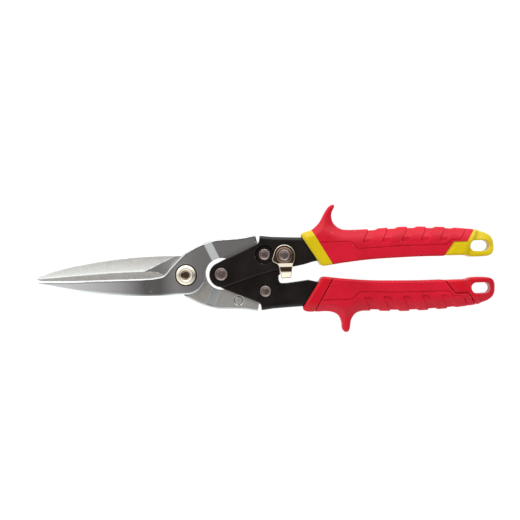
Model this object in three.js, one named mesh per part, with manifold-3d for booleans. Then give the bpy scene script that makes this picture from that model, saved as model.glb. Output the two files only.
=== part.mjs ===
// Long-cut compound-action aviation snips, lying closed on a table.
//
// Millimetres. +Z is up, +X runs from the main pivot towards the handle ends, and the origin is on the main
// pivot axis at the surface that the tool lies on. Four pivots make the compound action: the two blades turn
// on the main bolt, each tang is riveted to its own handle, and the handles are riveted to each other at
// their noses. The blade seen in front carries the lower jaw and the upper tang.
import * as THREE from "three";
import { mergeVertices } from "three/addons/utils/BufferGeometryUtils.js";
import Module from "manifold-3d";

const wasm = await Module();
wasm.setup();

// ---- driving dimensions -------------------------------------------------------------------------------
const MID = 10.5; // height of the shear plane between the blades: every other height is given from it
const GAP = 0.3; // clearance between pieces that touch or slide

// Pivots, as [x, y].
const MAIN = [0, 0];
const NOSE = [24.6, 0];
const UPPER_TANG = [54.9, 12.9];
const LATCH_PIVOT = [68.6, 12];

// Blades.
const BLADE_INNER = 0.1; // from the shear plane to the face that slides on the other blade
const BLADE_OUTER = 5.1; // from the shear plane to the outer face at the pivot
const TIP_OUTER = 2.2; // the same at the tip, where the jaw is thinnest
const TAPER_START = -14; // x where the jaw starts to thin
const TIP_X = -105.2;
const BOSS_R = 13.5; // round end of each blade under the main bolt
const NOSE_ARC_R = 11.1; // hollow in each blade that clears the noses of the handles
const TANG_HALF = 3; // half the thickness of a tang, centred on the shear plane
const TANG_END_R = 8.3;
const JOGGLE_ANGLE = THREE.MathUtils.degToRad(25); // the way across the step from pivot zone to tang
const JOGGLE_START = 20.6;
const JOGGLE_END = 26.2;
const BLADE_LEAN = THREE.MathUtils.degToRad(0.45); // how far both blade outlines are turned about the bolt
const FRONT_EDGE = -1.6; // y of the front blade's cutting edge
const REAR_EDGE = 3.4; // the same for the rear blade, in its own flipped frame

// Handle frames, folded from sheet: the lower one nests inside the upper one.
const SHEET = 1.8;
const LOWER_INNER = TANG_HALF + GAP;
const LOWER_OUTER = LOWER_INNER + SHEET;
const UPPER_INNER = LOWER_OUTER + GAP;
const UPPER_OUTER = UPPER_INNER + SHEET;
const DIMPLE_R = 6.4; // pressed seat of the upper tang rivet
const LOWER_CLOSE = THREE.MathUtils.degToRad(0.37); // the lower handle stands a little nearer to the middle

// Rivets, bolt and washers.
const RIVET_R = 2.6;
const RIVET_HOLE_R = 2.9;
const OPEN_PIVOT_HOLE_R = 3.1; // the lower tang turns on its rivet with more play than the others
const TANG_RIVET_HEAD_R = 4;
const NOSE_RIVET_HEAD_R = 4.5;
const HEAD_H = 1.5;
const BOLT_R = 4.2;
const BOLT_HOLE_R = 4.5;
const BOLT_HEAD_R = 6.95;
const BOLT_HEAD_H = 2.5;
const COUNTERBORE_R = 7.9;
const COUNTERBORE_FLOOR = 4.1;
const SOCKET_FLATS = 5;
const SOCKET_DEPTH = 2.2;
const HEAD_WASHER = 0.8; // thickness of the washer under the bolt's head
const NUT_WASHER = 0.7;
const NUT_WASHER_R = 8.4;
const NUT_FLATS = 14;
const NUT_FLOOR = 2; // what is left under the bolt's hole in the nut
const LATCH_SHEET = 1;
const LATCH_WASHER_R = 5;
const LATCH_RIVET_HEAD_H = 1.2;
const LATCH_RIVET_TAIL_R = 3.4; // flattened end inside the channel

// Return spring.
const WIRE_R = 0.65;
const COIL_R = 5;
const COIL_PITCH = 1.5;
const COIL_TURNS = 2.5;
const SPRING_REACH = 46; // x where both legs end

// Grips.
const GRIP_HALF = 10.5;
const GRIP_ROUND = 4; // rounding of the long edges
const STOP_HALF = 7; // half the thickness of the hand stop on each grip
const LOOP_HALF = 7.5; // half the thickness of the hang loop
const SLEEVE_START = 90;
const SLEEVE_END = 189;
const SLEEVE_HALF = 8.6;
const SLEEVE_WALL = 1.2;
const FRAME_TAIL = { end: 178, low: 13.3, high: 23 };
const HANG_HOLE = { from: [201.6, 15.3], to: [207.5, 15.3], radius: 3.8 };

// ---- materials ----------------------------------------------------------------------------------------
const finish = (color, roughness, metalness) =>
  new THREE.MeshStandardMaterial({ color, roughness, metalness });

const GROUND_STEEL = finish(0x8e8b8a, 0.42, 0.9);
const POLISHED_STEEL = finish(0xb9bdb9, 0.28, 0.95);
const BLACK_COAT = finish(0x1a1716, 0.5, 0.3);
const NICKEL = finish(0xc8bda6, 0.25, 0.95);
const RIVET_STEEL = finish(0x7a736c, 0.4, 0.85);
const SPRING_STEEL = finish(0x55524f, 0.4, 0.9);
const YELLOW_PLASTIC = finish(0xd5c414, 0.5, 0);
const RED_RUBBER = finish(0xc81c30, 0.6, 0);
const RED_PLASTIC = finish(0xc2182c, 0.5, 0);

// ---- tools for making solids --------------------------------------------------------------------------
const same = (x, y) => [x, y];

// Turns a point about a centre.
function turned([x, y], [cx, cy], angle) {
  const c = Math.cos(angle);
  const s = Math.sin(angle);
  return [cx + c * (x - cx) - s * (y - cy), cy + s * (x - cx) + c * (y - cy)];
}

// Points along an arc, from one angle in degrees to the other.
function arc([cx, cy], radius, from, to, steps = 10) {
  return Array.from({ length: steps + 1 }, (_, i) => {
    const a = THREE.MathUtils.degToRad(from + ((to - from) * i) / steps);
    return [cx + radius * Math.cos(a), cy + radius * Math.sin(a)];
  });
}

// A closed outline from corners [x, y] and smooth stretches { through: [[x, y], ...] }.
function outline(parts, place = same) {
  const shape = new THREE.Shape();
  parts.forEach((part, i) => {
    if (part.through) shape.splineThru(part.through.map(([x, y]) => new THREE.Vector2(...place(x, y))));
    else if (i === 0) shape.moveTo(...place(...part));
    else shape.lineTo(...place(...part));
  });
  shape.closePath();
  return shape;
}

function solid(geometry) {
  const bare = geometry.clone();
  bare.deleteAttribute("normal");
  bare.deleteAttribute("uv");
  const merged = mergeVertices(bare, 1e-4);
  return new wasm.Manifold(
    new wasm.Mesh({
      numProp: 3,
      vertProperties: new Float32Array(merged.attributes.position.array),
      triVerts: new Uint32Array(merged.index.array),
    }),
  );
}

// An outline given thickness, from one height to another above the shear plane.
function plate(shape, low, high) {
  const settings = { depth: high - low, curveSegments: 4, bevelEnabled: false };
  const geometry = new THREE.ExtrudeGeometry(shape, settings);
  return solid(geometry.translate(0, 0, MID + low));
}

// A side profile of [across, height] points, made wide along the other horizontal direction.
function sideways(points, across, width) {
  const geometry = new THREE.ExtrudeGeometry(outline(points), { depth: width, bevelEnabled: false });
  geometry.translate(0, 0, -width / 2).rotateX(Math.PI / 2).rotateZ(across);
  return solid(geometry.translate(0, 0, MID));
}

// A round piece on a vertical axis from a profile of [radius, height] points that runs up from the axis.
function round([x, y], profile, segments = 28) {
  const points = profile.map(([r, z]) => new THREE.Vector2(r, z));
  const geometry = new THREE.LatheGeometry(points, segments).rotateX(Math.PI / 2);
  return solid(geometry.translate(x, y, MID));
}

const disc = (at, radius, low, high, segments) =>
  round(at, [[0, low], [radius, low], [radius, high], [0, high]], segments);

const ring = (at, inner, outer, low, high) =>
  round(at, [[inner, low], [outer, low], [outer, high], [inner, high], [inner, low]]);

function hexPrism([x, y], flats, low, high) {
  const geometry = new THREE.CylinderGeometry(flats / Math.sqrt(3), flats / Math.sqrt(3), high - low, 6);
  return solid(geometry.rotateX(Math.PI / 2).translate(x, y, MID + (low + high) / 2));
}

// The lower handle is drawn as if it were an upper one, and goes into a group that mirrors it.
const part = new THREE.Group();
const lowerSide = new THREE.Group();
lowerSide.scale.y = -1;
lowerSide.rotation.z = LOWER_CLOSE;
lowerSide.position.set(...turned(MAIN, NOSE, LOWER_CLOSE), 0);
part.add(lowerSide);
const LOWER_TANG = turned([UPPER_TANG[0], -UPPER_TANG[1]], NOSE, LOWER_CLOSE);

function piece(name, body, material, group = part) {
  const { numProp, vertProperties, triVerts } = body.getMesh();
  const positions = new Float32Array((vertProperties.length / numProp) * 3);
  for (let i = 0; i < positions.length / 3; i++) {
    positions.set(vertProperties.subarray(i * numProp, i * numProp + 3), i * 3);
  }
  const geometry = new THREE.BufferGeometry();
  geometry.setAttribute("position", new THREE.BufferAttribute(positions, 3));
  geometry.setIndex(new THREE.BufferAttribute(new Uint32Array(triVerts), 1));
  geometry.computeVertexNormals();
  const mesh = new THREE.Mesh(geometry, material);
  mesh.name = name;
  group.add(mesh);
}

// ---- blades -------------------------------------------------------------------------------------------
// The spine and the back of the tang are the same on both blades; the cutting edges differ.
const JAW_SPINE = {
  through: [[-100, -3.3], [-90, -6.25], [-75, -9.2], [-55, -11.8], [-35, -13.3], [-18, -13.7]],
};
const TANG_BACK = {
  through: [[48.2, 26.5], [35, 24.7], [20, 23.8], [10, 20.8], [0, 15.7], [-5, 11.7], [-11, 5.4]],
};
const FRONT_JAW_EDGE = [[-14, 1.6], [-17, -0.3], [-24, -1.4], [-31, FRONT_EDGE], [-80, FRONT_EDGE + 0.1]];
const REAR_JAW_EDGE = [[-16, REAR_EDGE + 0.4], [-30, REAR_EDGE], [-90, REAR_EDGE - 0.2], [-100, 1.6]];

// One blade, drawn as the front one. flip turns it over to make the rear one.
function blade(jawEdge, flip, rivetHole) {
  const side = flip ? -1 : 1;
  const lean = (x, y) => turned([x, side * y], MAIN, BLADE_LEAN);
  const body = outline(
    [
      [TIP_X, -0.6],
      [-103.6, -2],
      JAW_SPINE,
      ...arc(MAIN, BOSS_R, -90, -4),
      ...arc(NOSE, NOSE_ARC_R, 180, 80),
      ...arc([UPPER_TANG[0], UPPER_TANG[1]], TANG_END_R, -100, 100, 14),
      [50.6, 21.4],
      [49.8, 22.4],
      [49.5, 24.8],
      [49.1, 26.1],
      TANG_BACK,
      ...jawEdge,
    ],
    lean,
  );
  const reach = 130;
  const low = (z) => (flip ? -z : z);
  // Seen from the side: the pivot zone lies on its own side of the shear plane, the tang on the plane itself.
  const profile = [
    [-reach, low(BLADE_INNER)],
    [JOGGLE_START, low(BLADE_INNER)],
    [JOGGLE_END, low(-TANG_HALF)],
    [reach, low(-TANG_HALF)],
    [reach, low(TANG_HALF)],
    [JOGGLE_END, low(TANG_HALF)],
    [JOGGLE_START, low(BLADE_OUTER)],
    [-reach, low(BLADE_OUTER)],
  ];
  const step = sideways(profile, side * JOGGLE_ANGLE, 2 * reach);
  const taper = sideways(
    [
      [TAPER_START, low(BLADE_OUTER)],
      [TIP_X - 5, low(TIP_OUTER)],
      [TIP_X - 5, low(BLADE_OUTER + 1)],
      [TAPER_START, low(BLADE_OUTER + 1)],
    ],
    0,
    reach,
  );
  const counterbore = disc(MAIN, COUNTERBORE_R, COUNTERBORE_FLOOR, BLADE_OUTER + 1);
  const rivetAt = flip ? LOWER_TANG : UPPER_TANG;
  const whole = plate(body, -BLADE_OUTER - 1, BLADE_OUTER + 1)
    .intersect(step)
    .subtract(taper)
    .subtract(disc(MAIN, BOLT_HOLE_R, -8, 8))
    .subtract(disc(rivetAt, rivetHole, -8, 8));
  return flip ? whole : whole.subtract(counterbore);
}

function addBlades() {
  piece("front_blade", blade(FRONT_JAW_EDGE, false, RIVET_HOLE_R), GROUND_STEEL);
  piece("rear_blade", blade(REAR_JAW_EDGE, true, OPEN_PIVOT_HOLE_R), POLISHED_STEEL);
}

// ---- main pivot ---------------------------------------------------------------------------------------
function addMainPivot() {
  const headWasherLow = COUNTERBORE_FLOOR + GAP;
  const headLow = headWasherLow + HEAD_WASHER + GAP;
  const headTop = headLow + BOLT_HEAD_H;
  const nutWasherLow = -BLADE_OUTER - GAP - NUT_WASHER;
  const nutTop = nutWasherLow - GAP;
  const boltEnd = -MID + NUT_FLOOR + GAP;
  const bolt = round(MAIN, [
    [0, boltEnd],
    [BOLT_R, boltEnd],
    [BOLT_R, headLow],
    [BOLT_HEAD_R - 0.4, headLow],
    [BOLT_HEAD_R, headLow + 0.4],
    [BOLT_HEAD_R, headLow + 1.1],
    [BOLT_HEAD_R - 0.6, headTop - 0.5],
    [BOLT_HEAD_R - 2, headTop],
    [0, headTop],
  ], 40);
  const socket = hexPrism(MAIN, SOCKET_FLATS, headTop - SOCKET_DEPTH, headTop + 1);
  const headWasher = ring(MAIN, BOLT_HOLE_R, COUNTERBORE_R - GAP, headWasherLow, headWasherLow + HEAD_WASHER);
  const nutWasher = ring(MAIN, BOLT_HOLE_R, NUT_WASHER_R, nutWasherLow, nutWasherLow + NUT_WASHER);
  const nutBore = disc(MAIN, BOLT_HOLE_R, -MID + NUT_FLOOR, nutTop + 1);
  piece("pivot_bolt", bolt.subtract(socket), NICKEL);
  piece("pivot_head_washer", headWasher, BLACK_COAT);
  piece("pivot_nut_washer", nutWasher, NICKEL);
  piece("pivot_nut", hexPrism(MAIN, NUT_FLATS, -MID, nutTop).subtract(nutBore), NICKEL);
}

// ---- handle frames ------------------------------------------------------------------------------------
// The channel behind x = 52 has a web along its outer edge; in front of it only the two walls go on.
const WEB_START = 52.2;
const { end: TAIL_END, low: TAIL_LOW, high: TAIL_HIGH } = FRAME_TAIL;
const WALL_BACK = [[51.8, 26.1], [60, 25.1], [70, 24.6], [82, 24.1], [96, TAIL_HIGH], [TAIL_END, TAIL_HIGH]];
const WALL_FRONT = [[27, 10.3], [35, 13.6], [50.4, 20.7], [51.2, 22]];

function channel(wall, inner, outer) {
  const inside = [
    [0, -40],
    [0, 40],
    [WEB_START, 40],
    [WEB_START, WALL_BACK[0][1] - SHEET],
    ...WALL_BACK.slice(1).map(([x, y]) => [x, y - SHEET]),
    [TAIL_END + 5, TAIL_HIGH - SHEET],
    [TAIL_END + 5, -40],
  ];
  return plate(outline(wall), -outer, outer).subtract(plate(outline(inside), -inner, inner));
}

const upperWall = [
  ...arc([25, -0.4], 8.8, 250, 110, 16),
  ...WALL_FRONT,
  ...WALL_BACK,
  [TAIL_END, TAIL_LOW],
  [98, TAIL_LOW],
  [91.5, 7.6],
  { through: [[88, 7], [80, 4.9], [65, 2.4], [52, -0.6], [40, -4.4], [25, -9.2]] },
];

// Drawn as if it were an upper one, and mirrored. The hook notch of the latch is at x = 65.
const lowerWall = [
  ...arc([25, 0], 8.4, 250, 115, 14),
  [25, 10],
  [36, 14.7],
  [50.2, 20.6],
  [51.4, 22.4],
  ...WALL_BACK,
  [TAIL_END, TAIL_LOW],
  [98, TAIL_LOW],
  [91.5, 7.5],
  { through: [[85, 5.9], [78, 6.8], [70, 7.6], [66, 7.6]] },
  [64.4, 5.6],
  [64.3, 2.2],
  [65.6, 1.2],
  [65, -3.6],
  [50, -3.2],
  { through: [[42, -4.6], [30, -7.4], [23, -8.1]] },
];

// A pressed seat that brings one wall of the outer channel in to the tang. up is 1 or -1.
function dimple(frame, up) {
  const depth = UPPER_INNER - LOWER_INNER;
  const cone = (radius, low, high) => {
    const profile = [[0, low], [radius, low], [radius + 1, high], [0, high]].map(([r, z]) => [r, z * up]);
    return round(UPPER_TANG, up > 0 ? profile : profile.reverse());
  };
  return frame
    .add(cone(DIMPLE_R + 0.8, UPPER_INNER - depth, UPPER_INNER + 0.5))
    .subtract(cone(DIMPLE_R, UPPER_OUTER - depth, UPPER_OUTER + 0.1));
}

function addFrames() {
  let upper = channel(upperWall, UPPER_INNER, UPPER_OUTER);
  upper = dimple(dimple(upper, 1), -1);
  for (const at of [NOSE, UPPER_TANG]) upper = upper.subtract(disc(at, RIVET_HOLE_R, -9, 9));
  upper = upper.subtract(disc(LATCH_PIVOT, RIVET_HOLE_R, 0, 9));
  piece("upper_handle_frame", upper, BLACK_COAT);

  let lower = channel(lowerWall, LOWER_INNER, LOWER_OUTER);
  for (const at of [NOSE, UPPER_TANG]) lower = lower.subtract(disc(at, RIVET_HOLE_R, -9, 9));
  piece("lower_handle_frame", lower, BLACK_COAT, lowerSide);
}

// ---- rivets, spacer and return spring -----------------------------------------------------------------
// A rivet through the whole stack, with a low dished head on both sides.
function rivet(at, headR, seat) {
  const top = seat + GAP + HEAD_H;
  return round(at, [
    [0, -top],
    [headR - 0.5, -top],
    [headR, -top + 0.5],
    [headR, -seat - GAP],
    [RIVET_R, -seat - GAP],
    [RIVET_R, seat + GAP],
    [headR, seat + GAP],
    [headR, top - 0.5],
    [headR - 0.5, top],
    [headR - 1.2, top - 0.25],
    [0, top - 0.25],
  ]);
}

// A torsion spring round the spacer. Both legs run along the inner edges of the tangs and push them apart.
class SpringLine extends THREE.Curve {
  constructor() {
    super();
    this.leg = SPRING_REACH - NOSE[0];
    this.coil = 2 * Math.PI * COIL_R * COIL_TURNS;
    this.total = 2 * this.leg + this.coil;
  }

  getPoint(t, target = new THREE.Vector3()) {
    const along = t * this.total;
    const rise = COIL_PITCH * COIL_TURNS;
    if (along < this.leg) return target.set(NOSE[0] + this.leg - along, COIL_R, MID - rise / 2);
    if (along > this.leg + this.coil) {
      return target.set(NOSE[0] + along - this.leg - this.coil, -COIL_R, MID + rise / 2);
    }
    const turn = (along - this.leg) / this.coil;
    const a = Math.PI / 2 + turn * COIL_TURNS * 2 * Math.PI;
    return target.set(NOSE[0] + COIL_R * Math.cos(a), COIL_R * Math.sin(a), MID + rise * (turn - 0.5));
  }
}

function returnSpring() {
  const section = new THREE.Shape();
  section.absarc(0, 0, WIRE_R, 0, 2 * Math.PI);
  const settings = { curveSegments: 8, steps: 78, extrudePath: new SpringLine() };
  return solid(new THREE.ExtrudeGeometry(section, settings));
}

function addPivotsOfHandles() {
  piece("nose_rivet", rivet(NOSE, NOSE_RIVET_HEAD_R, UPPER_OUTER), RIVET_STEEL);
  piece("nose_spacer", ring(NOSE, RIVET_HOLE_R, 3.8, -TANG_HALF, TANG_HALF), SPRING_STEEL);
  piece("upper_tang_rivet", rivet(UPPER_TANG, TANG_RIVET_HEAD_R, LOWER_OUTER), RIVET_STEEL);
  piece("lower_tang_rivet", rivet(LOWER_TANG, TANG_RIVET_HEAD_R, LOWER_OUTER), RIVET_STEEL);
  piece("return_spring", returnSpring(), SPRING_STEEL);
}

// ---- latch --------------------------------------------------------------------------------------------
const WASHER_LOW = UPPER_OUTER + GAP;
const WASHER_TOP = WASHER_LOW + 1;
const LATCH_HIGH = WASHER_TOP + GAP; // underside of the latch round its rivet
const LATCH_LOW = UPPER_OUTER + GAP; // underside of its neck
const FOOT_LOW = LOWER_INNER + 0.2; // underside of the foot, level with the wall that it hooks

function latchBody() {
  const plan = outline([
    ...arc(LATCH_PIVOT, 7.3, -4, 152, 14),
    [60.1, 9.2],
    [60.3, 8.5],
    { through: [[63, 6.4], [64.4, 5], [64.9, 3.4], [65.6, 0.4], [66.5, -3.9]] },
    [72.9, -3.6],
    [74.1, 4],
    { through: [[74.6, 6], [75.6, 8.6]] },
  ]);
  const t = LATCH_SHEET;
  // Along the latch, from its round head down to the foot: two steps down.
  const profile = [
    [25, LATCH_HIGH],
    [25, LATCH_HIGH + t],
    [7.1, LATCH_HIGH + t],
    [4.3, LATCH_LOW + t],
    [-0.2, LATCH_LOW + t],
    [-4, FOOT_LOW + 1.3],
    [-4, FOOT_LOW],
    [-3.2, FOOT_LOW],
    [0.2, LATCH_LOW],
    [4.1, LATCH_LOW],
    [6.9, LATCH_HIGH],
  ];
  return plate(plan, 0, 12)
    .intersect(sideways(profile, Math.PI / 2, 200))
    .subtract(disc(LATCH_PIVOT, RIVET_HOLE_R, 0, 12));
}

function latchRivet() {
  const seat = LATCH_HIGH + LATCH_SHEET + GAP;
  const inside = UPPER_INNER - GAP;
  return round(LATCH_PIVOT, [
    [0, inside - LATCH_RIVET_HEAD_H],
    [LATCH_RIVET_TAIL_R, inside - LATCH_RIVET_HEAD_H],
    [LATCH_RIVET_TAIL_R, inside],
    [RIVET_R, inside],
    [RIVET_R, seat],
    [TANG_RIVET_HEAD_R, seat],
    [TANG_RIVET_HEAD_R, seat + LATCH_RIVET_HEAD_H - 0.4],
    [TANG_RIVET_HEAD_R - 0.5, seat + LATCH_RIVET_HEAD_H],
    [0, seat + LATCH_RIVET_HEAD_H],
  ]);
}

function addLatch() {
  piece("latch", latchBody(), NICKEL);
  const washer = ring(LATCH_PIVOT, RIVET_HOLE_R, LATCH_WASHER_R, WASHER_LOW, WASHER_TOP);
  piece("latch_washer", washer, SPRING_STEEL);
  piece("latch_rivet", latchRivet(), RIVET_STEEL);
}

// ---- grips --------------------------------------------------------------------------------------------
// Both grips are drawn as the upper one.
const COLLAR = [
  [102.2, 5],
  { through: [[96, 4], [94.3, 4.4], [91.5, 8.1]] },
  [80.7, 25.4],
  { through: [[80.9, 26.4], [82.2, 27.5], [85, 28], [88, 29.1]] },
];

const TAIL = [
  [179.8, 8.8],
  { through: [[193.2, 8.6], [195.7, 7.9], [198.7, 7.6]] },
  { through: [[208.9, 7.8], [212.4, 9.2], [214.2, 11.8], [214.9, 15], [214.5, 19.6], [211.7, 23.2]] },
  [205.8, 25.7],
  [201.5, 26.7],
  [196.1, 18.5],
  [186.7, 18.5],
];

const HORN = {
  through: [[91, 31.3], [94, 34.5], [97, 40], [100, 44.6], [102.4, 46.4], [104.2, 46.2], [104.3, 44.6],
    [102.6, 41.4], [102.1, 37.8], [103.6, 33.3], [107.6, 29.6], [113, 28.6]],
};
const SPUR = {
  through: [[97, 27.8], [102, 29], [105.6, 31.6], [107.4, 36], [107.9, 41], [109.4, 43.1], [112, 42.7],
    [113.2, 39.6], [114.2, 34.6], [117.2, 30.5], [122, 28.4]],
};

// The soft cover from the collar line to the tail line; thumb is the hand stop that stands out of its back.
const coverOutline = (thumb) => [
  [102.7, 5.1],
  [88.5, 29.3],
  thumb,
  { through: [[127, 28.9], [150, 29.9], [168, 29.6], [184, 28.8], [201, 27]] },
  [195.9, 18.8],
  [186.4, 18.8],
  [179.3, 8.7],
  { through: [[165, 8.9], [147, 8.5], [128, 7.6], [110, 5.9]] },
];

const INNER_LINE = [[93, 3.6], [181, 8.5]]; // along the side of the grip that faces the other one
const OUTER_LINE = [[201, 29.4], [81, 29.6]]; // along its back
const TAIL_LINES = [
  [[181, 8.1], [199, 7.3]],
  [[215, 26.6], [200, 27.2]],
  [[215, 8], [215, 22]],
];

const rectangle = (x0, y0, x1, y1) => outline([[x0, y0], [x1, y0], [x1, y1], [x0, y1]]);

// A long bar with its material to the left of the line from a to b, and both edges along that line rounded.
function roundedAlong([[ax, ay], [bx, by]], radius) {
  const angle = Math.atan2(by - ay, bx - ax) + Math.PI / 2;
  const edge = ax * Math.cos(angle) + ay * Math.sin(angle);
  const profile = [
    ...arc([edge + radius, radius - GRIP_HALF], radius, 270, 180, 4),
    ...arc([edge + radius, GRIP_HALF - radius], radius, 180, 90, 4),
    [edge + 90, GRIP_HALF],
    [edge + 90, -GRIP_HALF],
  ];
  return sideways(profile.reverse(), angle, 600);
}

function gripCore(frameOuter) {
  const wall = GAP + SLEEVE_WALL;
  const sleeve = rectangle(SLEEVE_START, TAIL_LOW - wall, SLEEVE_END, TAIL_HIGH + wall);
  const pocket = outline([
    [70, 2.4],
    [80, 4.4],
    [91.7, 7.2],
    [98.2, TAIL_LOW - GAP],
    [TAIL_END + GAP, TAIL_LOW - GAP],
    [TAIL_END + GAP, TAIL_HIGH + GAP],
    [96, TAIL_HIGH + 2 * GAP],
    [82, 24.1 + 2 * GAP],
    [70, 24.6 + 2 * GAP],
  ]);
  const thinEnd = [[193.3, 0], [193.3, 9.4], [196.7, 15.5], [202.1, 26], [202.1, 40], [230, 40], [230, 0]];
  const loop = outline(thinEnd);
  const { from, to, radius } = HANG_HOLE;
  const hole = outline([...arc(from, radius, 90, 270), ...arc(to, radius, -90, 90)]);
  const collar = plate(outline(COLLAR), -GRIP_HALF, GRIP_HALF)
    .intersect(roundedAlong(INNER_LINE, GRIP_ROUND))
    .intersect(roundedAlong(OUTER_LINE, GRIP_ROUND));
  let tail = plate(outline(TAIL), -GRIP_HALF, GRIP_HALF);
  for (const line of TAIL_LINES) tail = tail.intersect(roundedAlong(line, GRIP_ROUND));
  return collar
    .add(plate(sleeve, -SLEEVE_HALF, SLEEVE_HALF))
    .add(tail)
    .subtract(plate(loop, LOOP_HALF, 20))
    .subtract(plate(loop, -20, -LOOP_HALF))
    .subtract(plate(hole, -20, 20))
    .subtract(plate(pocket, -frameOuter - GAP, frameOuter + GAP));
}

function gripCover(thumb) {
  const wall = 2 * GAP + SLEEVE_WALL;
  const pocket = rectangle(70, TAIL_LOW - wall, SLEEVE_END + GAP, TAIL_HIGH + wall);
  const stop = plate(rectangle(80, 20, 130, 60), -STOP_HALF, STOP_HALF);
  return plate(outline(coverOutline(thumb)), -GRIP_HALF, GRIP_HALF)
    .intersect(roundedAlong(INNER_LINE, GRIP_ROUND))
    .intersect(roundedAlong(OUTER_LINE, GRIP_ROUND).add(stop))
    .subtract(plate(pocket, -SLEEVE_HALF - GAP, SLEEVE_HALF + GAP));
}

function addGrips() {
  piece("upper_grip_core", gripCore(UPPER_OUTER), YELLOW_PLASTIC);
  piece("upper_grip_cover", gripCover(HORN), RED_RUBBER);
  piece("lower_grip_core", gripCore(LOWER_OUTER), RED_PLASTIC, lowerSide);
  piece("lower_grip_cover", gripCover(SPUR), RED_RUBBER, lowerSide);
}

addBlades();
addMainPivot();
addFrames();
addPivotsOfHandles();
addLatch();
addGrips();

export default part;
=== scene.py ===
import functools
import math

import bpy
import numpy as np
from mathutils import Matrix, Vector


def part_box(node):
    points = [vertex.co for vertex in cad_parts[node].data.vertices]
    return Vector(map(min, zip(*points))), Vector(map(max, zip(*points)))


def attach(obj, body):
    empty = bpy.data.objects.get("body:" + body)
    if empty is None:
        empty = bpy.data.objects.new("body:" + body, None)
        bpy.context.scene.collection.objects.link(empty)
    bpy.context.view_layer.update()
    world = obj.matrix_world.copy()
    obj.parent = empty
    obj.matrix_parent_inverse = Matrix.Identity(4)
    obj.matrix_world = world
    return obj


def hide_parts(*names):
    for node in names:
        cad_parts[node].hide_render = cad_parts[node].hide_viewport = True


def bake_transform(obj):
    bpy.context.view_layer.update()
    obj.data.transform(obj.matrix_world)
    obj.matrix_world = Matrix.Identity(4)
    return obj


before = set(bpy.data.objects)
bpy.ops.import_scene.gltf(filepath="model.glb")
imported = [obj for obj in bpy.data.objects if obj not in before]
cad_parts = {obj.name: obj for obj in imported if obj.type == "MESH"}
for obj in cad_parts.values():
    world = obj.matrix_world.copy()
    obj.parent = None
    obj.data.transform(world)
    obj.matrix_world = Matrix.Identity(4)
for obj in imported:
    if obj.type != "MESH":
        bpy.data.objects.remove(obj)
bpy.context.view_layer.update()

MM = 0.001
GRID = 1.0


def centre(node):
    """The middle of a CAD node's box, in millimetres."""
    low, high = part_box(node)
    return (low + high) / (2 * MM)


def level(node, end):
    """The lowest (0) or highest (1) height of a CAD node, in millimetres."""
    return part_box(node)[end].z / MM


# ---- places and sizes taken from the frame ----
MAIN = centre("pivot_bolt").xy
NOSE = centre("nose_rivet").xy
UPPER_TANG = centre("upper_tang_rivet").xy
LOWER_TANG = centre("lower_tang_rivet").xy
LATCH_PIVOT = centre("latch_rivet").xy
MID = (level("front_blade", 1) + level("rear_blade", 0)) / 2  # shear plane between the blades


# ---- meshing of distance fields ----
def crossings(field, axes, values, along):
    """Where grid lines along one axis cross the surface: cell, place, outward normal, and whether it
    goes out there."""
    here = [slice(None)] * 3
    there = [slice(None)] * 3
    here[along] = slice(0, -1)
    there[along] = slice(1, None)
    near = values[tuple(here)]
    far = values[tuple(there)]
    index = np.argwhere((near < 0) != (far < 0))
    near = near[tuple(index.T)]
    far = far[tuple(index.T)]
    step = axes[0][1] - axes[0][0]
    place = np.stack([axes[k][index[:, k]] for k in range(3)], axis=1)
    place[:, along] += step * near / (near - far)
    nudge = 0.03 * step
    base = field(*place.T)
    normal = np.empty_like(place)
    for k in range(3):
        ahead = place.copy()
        ahead[:, k] += nudge
        normal[:, k] = (field(*ahead.T) - base) / nudge
    slope = normal[:, along]
    steep = np.abs(slope) > 0.3
    place[steep, along] -= np.clip(base[steep] / slope[steep], -0.3 * step, 0.3 * step)
    normal /= np.maximum(np.linalg.norm(normal, axis=1, keepdims=True), 1e-12)
    return index, place, normal, near < 0


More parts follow.
